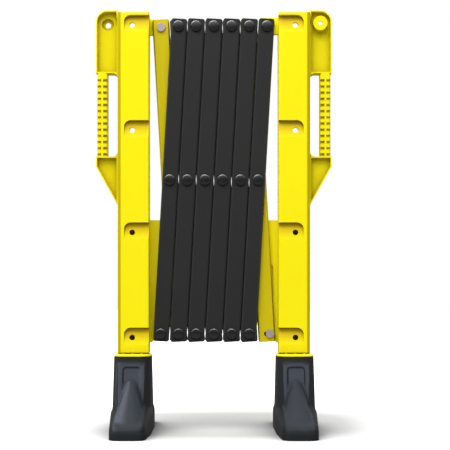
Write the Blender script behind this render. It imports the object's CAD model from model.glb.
import math

import bmesh
import bpy
import numpy as np
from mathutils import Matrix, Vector

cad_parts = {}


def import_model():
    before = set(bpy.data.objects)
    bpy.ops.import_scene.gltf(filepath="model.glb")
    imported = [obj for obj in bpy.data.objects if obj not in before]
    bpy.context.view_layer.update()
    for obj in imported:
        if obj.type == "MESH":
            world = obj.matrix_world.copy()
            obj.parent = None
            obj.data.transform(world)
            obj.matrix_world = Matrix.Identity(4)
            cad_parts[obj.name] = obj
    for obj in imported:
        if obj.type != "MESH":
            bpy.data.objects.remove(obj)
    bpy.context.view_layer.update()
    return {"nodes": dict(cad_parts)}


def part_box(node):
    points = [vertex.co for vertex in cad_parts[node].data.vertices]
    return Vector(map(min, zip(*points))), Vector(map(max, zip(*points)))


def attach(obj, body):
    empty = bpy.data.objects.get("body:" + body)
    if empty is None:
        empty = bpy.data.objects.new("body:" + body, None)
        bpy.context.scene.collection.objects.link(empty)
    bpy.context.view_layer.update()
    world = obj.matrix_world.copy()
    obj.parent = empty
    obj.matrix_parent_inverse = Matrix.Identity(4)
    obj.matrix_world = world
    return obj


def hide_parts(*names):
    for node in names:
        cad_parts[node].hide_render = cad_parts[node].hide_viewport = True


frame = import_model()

SCENE = bpy.context.scene
NODES = frame["nodes"]


# ---------------------------------------------------------------- node helpers

def linear(code):
    """A colour written as it is seen, as linear light."""
    out = []
    for i in (0, 2, 4):
        c = int(code[i:i + 2], 16) / 255
        out.append(c / 12.92 if c <= 0.04045 else ((c + 0.055) / 1.055) ** 2.4)
    return (*out, 1.0)


def grey(value):
    return (value, value, value, 1.0)


class Nodes:
    """A small helper round one node tree."""

    def __init__(self, tree):
        self.tree = tree
        tree.nodes.clear()

    def add(self, kind, feeds=None, **settings):
        node = self.tree.nodes.new(kind)
        for key, value in settings.items():
            setattr(node, key, value)
        for key, value in (feeds or {}).items():
            self.feed(node.inputs[key], value)
        return node

    def feed(self, socket, value):
        """Gives a socket a number, a colour or another node's output."""
        if isinstance(value, bpy.types.NodeSocket):
            self.tree.links.new(value, socket)
        else:
            socket.default_value = value

    def split(self, vector):
        node = self.add("ShaderNodeSeparateXYZ", {0: vector})
        return [node.outputs[k] for k in "XYZ"]

    def math(self, op, a, b=0.0):
        return self.add("ShaderNodeMath", {0: a, 1: b}, operation=op).outputs[0]

    def times(self, first, *others):
        for value in others:
            first = self.math("MULTIPLY", first, value)
        return first

    def highest(self, a, b):
        return self.math("MAXIMUM", a, b)

    def size(self, value):
        return self.math("ABSOLUTE", value)

    def without(self, mask, share=None):
        """1 where the mask is 0, and 1 less the mask, or less a share of it, elsewhere."""
        return self.math("SUBTRACT", 1.0, mask if share is None else self.times(mask, share))

    def remap(self, value, a, b, lo, hi, kind="LINEAR"):
        """a to b becomes lo to hi; values outside stay at the ends."""
        feeds = {"Value": value, "From Min": a, "From Max": b, "To Min": lo, "To Max": hi}
        return self.add("ShaderNodeMapRange", feeds, interpolation_type=kind).outputs["Result"]

    def step(self, value, a, b, lo=0.0, hi=1.0):
        """lo at a, hi at b, with soft ends."""
        return self.remap(value, a, b, lo, hi, "SMOOTHSTEP")

    def band(self, value, start, full, end, stop):
        """0 up to start, 1 from full to end, 0 again from stop on, with soft ends."""
        return self.times(self.step(value, start, full), self.step(value, stop, end))


class Material(Nodes):
    """A material with one Principled shader, drawn in the object's own coordinates."""

    def __init__(self, name):
        self.mat = bpy.data.materials.new(name)
        self.mat.use_nodes = True
        super().__init__(self.mat.node_tree)
        self.out = self.add("ShaderNodeOutputMaterial")
        self.bsdf = self.add("ShaderNodeBsdfPrincipled")
        self.feed(self.out.inputs[0], self.bsdf.outputs[0])
        coord = self.add("ShaderNodeTexCoord")
        self.place = coord.outputs["Object"]
        self.facing = coord.outputs["Normal"]

    def noise(self, scale, detail=3.0, rough=0.5, stretch=None):
        vector = self.place
        if stretch:
            vector = self.add("ShaderNodeMapping", {"Vector": vector, "Scale": stretch}).outputs["Vector"]
        feeds = {"Vector": vector, "Scale": scale, "Detail": detail, "Roughness": rough}
        return self.add("ShaderNodeTexNoise", feeds).outputs["Fac"]

    def mix(self, share, a, b):
        node = self.add("ShaderNodeMix", {"Factor": share}, data_type="RGBA")
        for socket, value in zip([s for s in node.inputs if s.type == "RGBA"], (a, b)):
            self.feed(socket, value)
        return next(s for s in node.outputs if s.type == "RGBA")

    def edges(self, radius, gain):
        """1 along sharp edges, 0 on flat faces, with the rounded normal that goes with it."""
        bevel = self.add("ShaderNodeBevel", {"Radius": radius}, samples=6).outputs[0]
        flat = self.add("ShaderNodeNewGeometry").outputs["Normal"]
        dot = self.add("ShaderNodeVectorMath", {0: bevel, 1: flat}, operation="DOT_PRODUCT")
        worn = self.times(self.math("SUBTRACT", 1.0, dot.outputs["Value"]), gain)
        worn.node.use_clamp = True
        return worn, bevel

    def cavity(self, distance, samples=6):
        """The share of open air round a point, up to a distance: 1 in the open, 0 deep in a corner."""
        feeds = {"Distance": distance}
        return self.add("ShaderNodeAmbientOcclusion", feeds, samples=samples).outputs["AO"]

    def bump(self, height, strength, distance, normal=None):
        feeds = {"Strength": strength, "Distance": distance, "Height": height}
        if normal is not None:
            feeds["Normal"] = normal
        self.feed(self.bsdf.inputs["Normal"], self.add("ShaderNodeBump", feeds).outputs[0])

    def moulded(self, colour, fine, cloud, rough, spec, depth, normal=None):
        """Ends a moulded plastic or rubber: colour, uneven roughness, shine and grain."""
        uneven = self.math("ADD", self.times(fine, 0.5), self.times(cloud, 0.5))
        self.feed(self.bsdf.inputs["Base Color"], colour)
        self.feed(self.bsdf.inputs["Roughness"], self.remap(uneven, 0.3, 0.7, *rough))
        self.feed(self.bsdf.inputs["Specular IOR Level"], spec)
        self.bump(fine, 0.35, depth, normal)


# ---------------------------------------------------------------- materials

# Noise: scale, detail and roughness. Four values of a remap: from, from, to and to
BROAD_NOISE = (7.0, 4.0, 0.55)
CLOUD_NOISE = (60.0, 5.0, 0.6)
MOTTLED = (0.35, 0.7, 0.0, 1.0)
WORN = (0.3, 0.7, 0.35, 1.0)
DIRTY = (0.25, 0.75, 0.8, 1.0)
GRAIN = 900.0
GRAIN_DEPTH = 0.00006
CREVICE = (0.42, 0.98)              # open air round a point at which dirt is thickest, and gone
DIRT_REACH = 0.035
SLANT = (-0.80, -0.62, -0.45, -0.25)    # forward share of the normal on bevelled front edges
PITCH_DARK = "141412"


def plastic(name, base, tone, edge, rough, grain=GRAIN, grain_depth=GRAIN_DEPTH, spec=0.5, dirt=None,
            dirt_gain=0.45, deep=False, lift=None, round_edge=0.0008, edge_gain=1.6, ior=1.5):
    """Moulded plastic: two tones, paler worn edges, and as asked dirt, near-black gaps and lifted bevels."""
    t = Material(name)
    fine = t.noise(grain, 2.0, 0.6)
    cloud = t.noise(*CLOUD_NOISE)
    col = t.mix(t.remap(t.noise(*BROAD_NOISE), *MOTTLED), linear(base), linear(tone))
    worn, normal = t.edges(round_edge, edge_gain)
    col = t.mix(t.times(worn, t.remap(cloud, *WORN)), col, linear(edge))
    if dirt:
        air = t.cavity(DIRT_REACH)
        shade = t.times(t.remap(air, *CREVICE, dirt_gain, 0.0), t.remap(cloud, *DIRTY))
        col = t.mix(shade, col, linear(dirt))
        if deep:
            col = t.mix(t.step(air, 0.36, 0.14), col, linear(PITCH_DARK))
    if lift:
        col = t.mix(t.band(t.split(t.facing)[1], *SLANT), col, linear(lift))
    t.feed(t.bsdf.inputs["IOR"], ior)
    t.moulded(col, fine, cloud, rough, spec, grain_depth, normal)
    return t.mat


def metal(name, base, deep, rough, share=1.0):
    """Drawn or plated steel with a fine upright brushing."""
    t = Material(name)
    fine = t.noise(700.0, 3.0, 0.6, (1.0, 1.0, 0.15))
    cloud = t.noise(180.0, 4.0, 0.6)
    t.feed(t.bsdf.inputs["Base Color"], t.mix(t.remap(cloud, 0.3, 0.7, 0.0, 1.0), linear(base), linear(deep)))
    t.feed(t.bsdf.inputs["Roughness"], t.remap(fine, 0.3, 0.7, *rough))
    t.feed(t.bsdf.inputs["Metallic"], share)
    _, normal = t.edges(0.0006, 1.0)
    t.bump(fine, 0.25, 0.00004, normal)
    return t.mat


# Places on the end frames, in metres: away from the middle, back from the front, up from the ground.
# Four values: a mask starts, is full, starts to fade and stops. Two values: a mask starts and is full.
POST_LINE = (0.2186, 0.2222, 0.2262, 0.2282)
POST_FACE = (-0.020, -0.022)
POST_HEM = (0.1892, 0.1868)
POST_BACK = (0.013, 0.008)
POST_INNER = (0.168, 0.160)
POCKET_LOW = (-0.0262, -0.0185)
POCKET_LOWEST = (-0.0200, -0.0182)
POCKET_RISE = (-0.0205, -0.0235)
LUG_ASIDE = (0.166, 0.160)
LUG_UP = (0.900, 0.915)
GRIP_ASIDE = (0.2515, 0.2535)
GRIP_UP = (0.648, 0.656, 0.846, 0.852)
NOTCHES_IN = (0.2520, 0.2535, 0.2622, 0.2645)
NOTCHES_OUT = (0.2665, 0.2685, 0.2755, 0.2775)
NOTCHES_UP = (0.644, 0.652, 0.840, 0.846)
NOTCH_PITCH = 0.01466
NOTCH_PHASE = 0.364
# Upward share of the normal on the pockets' leaning floors
LEANING = (0.08, 0.17, 0.3, 0.6)


def frame_yellow():
    """Moulded frame: grime in corners, pockets that darken with depth, soft lines on each post."""
    t = Material("frame_yellow")
    x, deep, high = t.split(t.place)
    face_x, face_y, face_z = t.split(t.facing)
    out = t.size(x)
    fine = t.noise(GRAIN, 2.0, 0.6)
    cloud = t.noise(*CLOUD_NOISE)
    col = t.mix(t.remap(t.noise(*BROAD_NOISE), *MOTTLED), linear("fcee10"), linear("faeb0e"))
    worn, normal = t.edges(0.0006, 1.6)
    col = t.mix(t.times(worn, t.remap(cloud, *WORN)), col, linear("fdf028"))
    # Pocket floors lean; they are darker the deeper they lie
    lean = t.band(face_z, *LEANING)
    col = t.mix(t.times(lean, t.remap(deep, *POCKET_LOW, 0.0, 1.0), 0.85), col, linear("c8a012"))
    col = t.mix(t.times(lean, t.step(deep, *POCKET_LOWEST), 0.45), col, linear("8a7404"))
    # A soft line just inside each post's outer side, and one at its foot
    front = t.step(face_y, -0.50, -0.80)
    line = t.times(t.band(out, *POST_LINE), front, t.step(deep, *POST_FACE))
    col = t.mix(t.times(line, 0.75), col, linear("a38d00"))
    col = t.mix(t.times(front, t.step(high, *POST_HEM), 0.7), col, linear("4a3c00"))
    # Grime round the two rows of notches in the grip
    turn = t.math("FRACT", t.math("DIVIDE", t.math("SUBTRACT", 1.0, high), NOTCH_PITCH))
    row = t.size(t.math("SUBTRACT", turn, NOTCH_PHASE))
    row = t.math("MINIMUM", row, t.without(row))
    soil = t.math("ADD", t.band(out, *NOTCHES_IN), t.times(t.band(out, *NOTCHES_OUT), 0.7))
    soil = t.times(soil, t.band(high, *NOTCHES_UP), t.remap(row, 0.14, 0.38, 0.60, 0.0))
    col = t.mix(soil, col, linear("8a7400"))
    # Grime in corners: none behind, on the inner walls, the lug and the upper ends of the pocket
    # floors, and less on ceilings and on the grip
    wall = t.times(t.step(t.size(face_x), 0.5, 0.9), t.step(out, *POST_INNER))
    lug = t.times(t.step(out, *LUG_ASIDE), t.step(high, *LUG_UP))
    grip = t.times(t.step(out, *GRIP_ASIDE), t.band(high, *GRIP_UP))
    shade = t.times(t.remap(t.cavity(0.06), *CREVICE, 0.68, 0.0), t.step(deep, *POST_BACK),
                    t.without(t.step(face_z, -0.5, -0.9), 0.75), t.without(t.highest(wall, lug)),
                    t.without(grip, 0.75), t.without(t.times(lean, t.step(deep, *POCKET_RISE))),
                    t.remap(cloud, *DIRTY))
    col = t.mix(shade, col, linear("8a7000"))
    t.moulded(col, fine, cloud, (0.42, 0.56), 0.09, GRAIN_DEPTH, normal)
    return t.mat


# Places on the feet, in metres: up from the ground, and away from the foot's own axis
FOOT_AXIS = 0.1924
FOOT_BAND_UP = (0.170, 0.158)
FOOT_TOE_UP = (0.014, 0.034)
FOOT_RAMP_ASIDE = (0.0365, 0.0285)


def rubber():
    """Moulded foot: slate grey on its panel and ramp, darker on its sides, top band and toe fronts."""
    t = Material("foot_rubber")
    x, _, high = t.split(t.place)
    face_x, face_y, face_z = t.split(t.facing)
    upright = t.size(face_y)
    up = t.step(face_z, 0.12, 0.45)
    aside = t.size(t.math("SUBTRACT", t.size(x), FOOT_AXIS))
    # The left foot's outer flank is lit like its front
    flank = t.times(t.step(face_x, -0.02, -0.42), t.step(x, 0.05, -0.05))
    front = t.highest(t.step(upright, 0.80, 0.97), t.times(flank, t.step(upright, 0.5, 0.8)))
    lit = t.times(t.highest(front, t.times(up, t.step(aside, *FOOT_RAMP_ASIDE))),
                  t.step(high, *FOOT_BAND_UP), t.step(high, *FOOT_TOE_UP))
    patch = t.remap(t.noise(9.0, 4.0, 0.6), *MOTTLED)
    cloud = t.noise(70.0, 5.0, 0.6)
    fine = t.noise(1300.0, 2.0, 0.6)

    def tones(level, level_tone, rising, rising_tone):
        return t.mix(up, t.mix(patch, linear(level), linear(level_tone)),
                     t.mix(patch, linear(rising), linear(rising_tone)))

    slate = t.mix(flank, tones("424851", "3e444d", "2e333a", "2b3037"), linear("494f58"))
    col = t.mix(lit, tones("242527", "212224", "0f1011", "0e0f10"), slate)
    col = t.mix(t.remap(t.cavity(0.02), 0.35, 0.97, 0.35, 0.0), col, linear("17181a"))
    t.moulded(col, fine, cloud, (0.58, 0.74), 0.22, 0.0001)
    return t.mat


YELLOW = frame_yellow()
PLATE = plastic("plate_yellow", "fcee18", "f8e916", "fdf028", (0.42, 0.56), spec=0.09,
                dirt="b08a08", dirt_gain=0.1)
SLAT_YELLOW = plastic("slat_yellow", "d6c513", "d0bf11", "e0cf22", (0.42, 0.56), spec=0.10,
                      dirt="9a7a08", dirt_gain=0.3, deep=True)
COLLAR = plastic("collar_yellow", "fcee06", "f6e605", "fff240", (0.34, 0.46), spec=0.12, dirt="b08a10")
SLAT_BLACK = plastic("slat_black", "2b2b2b", "292929", "333333", (0.50, 0.62), grain=1100.0, spec=0.18,
                     dirt="1c1c1c", lift="3c3c3c", round_edge=0.0010, edge_gain=1.0)
CAP = plastic("cap_black", "151515", "131313", "1a1a1a", (0.20, 0.25), grain=1500.0, grain_depth=0.00001,
              spec=0.9, round_edge=0.0003, edge_gain=0.4, ior=1.68)
RUBBER = rubber()
NYLON = plastic("roller_nylon", "202021", "1c1c1d", "363637", (0.35, 0.5), grain=1500.0)
ZINC = metal("zinc_steel", "bdbdc0", "a8a8ac", (0.28, 0.42))
PIN = metal("pin_steel", "c2b2b7", "b4a6ab", (0.40, 0.52), share=0.35)


def finish_of(node):
    if node.endswith("end_frame"):
        return YELLOW
    if node.endswith("track_plate"):
        return PLATE
    if node in ("rear_slat_1", "rear_slat_6"):
        return SLAT_YELLOW
    if node.startswith(("rear_slat", "front_slat")):
        return SLAT_BLACK
    if node.startswith("pivot_caps"):
        return CAP
    if node.endswith("foot_collar"):
        return COLLAR
    if node.endswith("_foot"):
        return RUBBER
    if "roller" in node or "spacer" in node:
        return NYLON
    if "screws" in node or "bolt" in node:
        return ZINC
    return PIN


for name, obj in NODES.items():
    obj.data.materials.clear()
    obj.data.materials.append(finish_of(name))


# ---------------------------------------------------------------- pieces in place of plainer solids

def new_piece(name, mesh, mat):
    obj = bpy.data.objects.new(name, mesh)
    mesh.materials.append(mat)
    SCENE.collection.objects.link(obj)
    return obj


def arc(reach, r, a0, a1, n):
    """Points of an arc in a lathe profile, its centre at reach from the axis, a in degrees from the axis."""
    out = []
    for k in range(n + 1):
        a = math.radians(a0 + (a1 - a0) * k / n)
        out.append((reach + r * math.sin(a), r * math.cos(a)))
    return out


def raised(points, by):
    return [(r, h + by) for r, h in points]


LATHE_SIDES = 72


def ring(bm, at, r, h):
    """Vertices round an axis along -Y through the point at, or a single one on the axis."""
    if r < 1e-7:
        return [bm.verts.new((at[0], at[1] - h, at[2]))]
    turns = [2 * math.pi * k / LATHE_SIDES for k in range(LATHE_SIDES)]
    return [bm.verts.new((at[0] + r * math.cos(a), at[1] - h, at[2] + r * math.sin(a))) for a in turns]


def lathe(bm, at, profile, sharp):
    """Turns a profile of (radius, height) into a closed body; sharp names the rings with hard edges."""
    rings = [ring(bm, at, r, h) for r, h in profile]
    for n, (a, b) in enumerate(zip(rings, rings[1:]), 1):
        for k in range(LATHE_SIDES):
            m = (k + 1) % LATHE_SIDES
            if len(a) == 1:
                corners = (a[0], b[m], b[k])
            elif len(b) == 1:
                corners = (a[k], a[m], b[0])
            else:
                corners = (a[k], a[m], b[m], b[k])
            bm.faces.new(corners).smooth = True
        if n in sharp:
            for k in range(LATHE_SIDES):
                bm.edges.get((b[k], b[(k + 1) % LATHE_SIDES])).smooth = False


CAP_R = 0.0126
CAP_CROWN_R = 0.080
CAP_RIM_R = 0.0060
CAP_CROWN_END = 7.0         # degrees from the axis
CAP_RIM_END = 36.5
CAP_SKIRT_BEVEL = 0.0003
CAP_SINK_R = 0.00905        # room for the rivet's head
CAP_SINK_H = 0.00205


def cap_profile(total):
    """A low crown, a round rim, a short skirt and a hollow underside; gives the two sharp rings too."""
    outline = raised(arc(0, CAP_CROWN_R, 0, CAP_CROWN_END, 5), total - CAP_CROWN_R)
    turn = math.sin(math.radians(CAP_CROWN_END))
    rim = arc((CAP_CROWN_R - CAP_RIM_R) * turn, CAP_RIM_R, CAP_CROWN_END, CAP_RIM_END, 10)
    outline += raised(rim[1:], outline[-1][1] - rim[0][1])
    outline = [(min(r, CAP_R), h) for r, h in outline]
    edge_h = outline[-1][1]
    outline += [(CAP_R - 0.00012, edge_h - 0.0002), (CAP_R, edge_h - 0.0006), (CAP_R, CAP_SKIRT_BEVEL),
                (CAP_R - CAP_SKIRT_BEVEL, 0.0)]
    under = [(CAP_SINK_R, 0.0), (CAP_SINK_R, CAP_SINK_H), (0.0, CAP_SINK_H)]
    return outline + under, (len(outline), len(outline) + 1)


def caps():
    """Smooth domed caps over the rivets' heads, three on each front slat."""
    for i in range(1, 7):
        node = "pivot_caps_%d" % i
        lo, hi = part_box(node)
        base = hi[1]
        top = (hi[0] - CAP_R, base, hi[2] - CAP_R)
        low = (lo[0] + CAP_R, base, lo[2] + CAP_R)
        mid = tuple((a + b) / 2 for a, b in zip(top, low))
        profile, sharp = cap_profile(hi[1] - lo[1])
        bm = bmesh.new()
        for at in (top, mid, low):
            lathe(bm, at, profile, sharp)
        bmesh.ops.recalc_face_normals(bm, faces=bm.faces)
        mesh = bpy.data.meshes.new("domed_caps_%d" % i)
        bm.to_mesh(mesh)
        bm.free()
        obj = new_piece("domed_caps_%d" % i, mesh, CAP)
        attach(obj, "front_bar_%d" % i)
        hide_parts(node)


SKIN_SIZE = 0.0019
SKIN_ROUNDS = 26
SKIN_PULL = 0.5
# Heights and radius, in metres, at which smoothing ends, and over how much it fades
TOP_AT, TOP_FADE = 0.168, 0.012
SOLE_AT, SOLE_FADE = 0.002, 0.006
BORE_AT, BORE_FADE = 0.026, 0.006
PANEL_AT, PANEL_FADE, PANEL_LEAST = 0.105, 0.02, 0.22


def read(items, key, width, dtype):
    out = np.empty(len(items) * width, dtype=dtype)
    items.foreach_get(key, out)
    return out.reshape(-1, width)


def ease(mesh, lo, hi):
    """Draws each vertex to the mean of its neighbours, but not at the top, the sole and the bore."""
    co = read(mesh.vertices, "co", 3, float)
    a, b = read(mesh.edges, "vertices", 2, np.int64).T
    count = np.bincount(np.concatenate([a, b]), minlength=len(co))[:, None]
    z = co[:, 2:3]
    axis = np.hypot(co[:, 0:1] - (lo[0] + hi[0]) / 2, co[:, 1:2] - (lo[1] + hi[1]) / 2)
    free = np.clip((TOP_AT - z) / TOP_FADE, 0, 1) * np.clip((z - SOLE_AT) / SOLE_FADE, 0, 1)
    free = free * np.clip((axis - BORE_AT) / BORE_FADE, 0, 1)
    # Less round the panel's hollow, so that its rim stays crisp
    free = free * np.clip(1 - (z - PANEL_AT) / PANEL_FADE, PANEL_LEAST, 1)
    for _ in range(SKIN_ROUNDS):
        mean = np.zeros_like(co)
        np.add.at(mean, a, co[b])
        np.add.at(mean, b, co[a])
        co = co + SKIN_PULL * free * (mean / np.maximum(count, 1) - co)
    mesh.vertices.foreach_set("co", np.clip(co, np.array(lo), np.array(hi)).ravel())
    mesh.update()


def soft_feet():
    """The moulded feet with their hard edges eased: a fine even skin over the solid, then smoothed."""
    for side in ("left", "right"):
        node = side + "_foot"
        mesh = NODES[node].data.copy()
        mesh.name = side + "_moulded_foot"
        mesh.transform(NODES[node].matrix_world)
        mesh.materials.clear()
        obj = new_piece(side + "_moulded_foot", mesh, RUBBER)
        mod = obj.modifiers.new("skin", "REMESH")
        mod.mode = "VOXEL"
        mod.voxel_size = SKIN_SIZE
        mod.use_smooth_shade = True
        graph = bpy.context.evaluated_depsgraph_get()
        skin = bpy.data.meshes.new_from_object(obj.evaluated_get(graph))
        obj.modifiers.clear()
        obj.data = skin
        ease(skin, *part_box(node))
        if not skin.materials:
            skin.materials.append(RUBBER)
        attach(obj, side + "_foot_swivel")
        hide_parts(node)


caps()
soft_feet()


# ---------------------------------------------------------------- floor, light and camera

FLOOR = 0.72                # the floor as the camera sees it, before its shadow
FLOOR_BOUNCE = 0.32         # as it lights the barrier
FLOOR_MIRRORED = 0.05       # as glossy faces mirror it
FLOOR_SHADOW = (0.35, 0.97, 0.62, 0.0)
FLOOR_CONTACT = (0.45, 0.97, 0.55, 0.0)
SWEEP_AT = (0.050, 0.140, 0.0)
SWEEP_SIZE = (0.415, 0.345, 1.0)
SWEEP_NEAR = (0.68, 1.0, 0.0, 0.36)
SWEEP_FAR = (0.95, 1.3, 0.0, 0.64)
SWEEP_MIRRORED = 0.10


def floor():
    mesh = bpy.data.meshes.new("floor")
    bm = bmesh.new()
    bmesh.ops.create_grid(bm, x_segments=8, y_segments=8, size=40.0)
    bm.to_mesh(mesh)
    bm.free()
    obj = bpy.data.objects.new("floor", mesh)
    SCENE.collection.objects.link(obj)
    t = Material("floor_white")
    t.tree.nodes.remove(t.bsdf)
    path = t.add("ShaderNodeLightPath")
    camera_ray = path.outputs["Is Camera Ray"]
    glossy_ray = path.outputs["Is Glossy Ray"]
    clear_ray = path.outputs["Is Transmission Ray"]
    seen = t.mix(t.noise(3.0, 2.0), grey(FLOOR), grey(FLOOR + 0.01))
    shadow = t.highest(t.remap(t.cavity(0.6, 12), *FLOOR_SHADOW), t.remap(t.cavity(0.16), *FLOOR_CONTACT))
    seen = t.mix(shadow, seen, grey(0.0))
    bounce = t.mix(glossy_ray, grey(FLOOR_BOUNCE), grey(FLOOR_MIRRORED))
    colour = t.mix(t.highest(camera_ray, clear_ray), bounce, seen)
    # Round the barrier the floor takes its shadow; farther out it is the studio's white sweep
    oval = t.add("ShaderNodeMapping", {"Vector": t.place, "Location": SWEEP_AT, "Scale": SWEEP_SIZE},
                 vector_type="TEXTURE")
    x, y, _ = t.split(oval.outputs["Vector"])
    away = t.math("ADD", *(t.math("POWER", t.size(v), 4.0) for v in (x, y)))
    away = t.math("POWER", away, 0.25)
    sweep = t.math("ADD", t.remap(away, *SWEEP_NEAR), t.remap(away, *SWEEP_FAR))
    share = t.highest(camera_ray, t.times(t.highest(glossy_ray, clear_ray), SWEEP_MIRRORED))
    diffuse = t.add("ShaderNodeBsdfDiffuse", {"Color": colour})
    glow = t.add("ShaderNodeEmission", {"Strength": t.times(share, sweep)})
    both = t.add("ShaderNodeAddShader", {0: diffuse.outputs[0], 1: glow.outputs[0]})
    t.feed(t.out.inputs[0], both.outputs[0])
    mesh.materials.append(t.mat)


# A soft dome: light from above, more of it from the front and the left, little from below
DOME_UP = (0.12, 0.95, 0.06, 2.9)
DOME_ACROSS = (-0.9, 0.9, 1.0, 0.40)
DOME_BACK = (-0.6, 0.6, 1.0, 0.6)
BACKDROP = (-0.1, 0.5, 0.0, 1.0)    # where glossy faces mirror the white backdrop


def world():
    studio = bpy.data.worlds.new("studio")
    SCENE.world = studio
    studio.use_nodes = True
    w = Nodes(studio.node_tree)
    out = w.add("ShaderNodeOutputWorld")
    path = w.add("ShaderNodeLightPath")
    x, y, z = w.split(w.add("ShaderNodeTexCoord").outputs["Generated"])
    dome = w.times(w.step(z, *DOME_UP), w.step(x, *DOME_ACROSS), w.step(y, *DOME_BACK))
    light = w.add("ShaderNodeBackground", {"Color": grey(1.0), "Strength": dome})
    white = w.add("ShaderNodeBackground", {"Color": grey(1.0), "Strength": 1.0})
    seen = w.highest(path.outputs["Is Camera Ray"], path.outputs["Is Transmission Ray"])
    shine = w.times(path.outputs["Is Glossy Ray"], w.remap(y, *BACKDROP))
    mix = w.add("ShaderNodeMixShader", {0: w.highest(seen, shine), 1: light.outputs[0], 2: white.outputs[0]})
    w.feed(out.inputs[0], mix.outputs[0])


def area(name, at, to, size_x, size_y, power):
    data = bpy.data.lights.new(name, "AREA")
    data.shape = "RECTANGLE"
    data.size = size_x
    data.size_y = size_y
    data.energy = power
    obj = bpy.data.objects.new(name, data)
    obj.location = at
    obj.rotation_euler = (Vector(to) - Vector(at)).to_track_quat("-Z", "Y").to_euler()
    SCENE.collection.objects.link(obj)


def sun(name, towards, strength, angle):
    data = bpy.data.lights.new(name, "SUN")
    data.energy = strength
    data.angle = math.radians(angle)
    obj = bpy.data.objects.new(name, data)
    obj.rotation_euler = (-Vector(towards)).to_track_quat("-Z", "Y").to_euler()
    obj.visible_glossy = False
    SCENE.collection.objects.link(obj)


def camera(at, lens, shift_x, shift_y):
    data = bpy.data.cameras.new("camera")
    data.sensor_width = 36.0
    data.lens = lens
    data.shift_x = shift_x
    data.shift_y = shift_y
    data.clip_end = 200.0
    obj = bpy.data.objects.new("camera", data)
    obj.location = at
    obj.rotation_euler = (math.radians(90), 0, 0)
    SCENE.collection.objects.link(obj)
    SCENE.camera = obj


floor()
world()
area("key", at=(-0.75, -1.15, 2.85), to=(0, 0, 0.6), size_x=3.2, size_y=0.5, power=44.5)
sun("front", towards=(-0.30, -0.80, 0.46), strength=0.54, angle=34)
sun("fill", towards=(0.50, -0.82, 0.20), strength=0.34, angle=60)
camera(at=(0, -2.45, 0.303), lens=82.04, shift_x=0.0248, shift_y=0.175)
SCENE.view_settings.view_transform = "Standard"
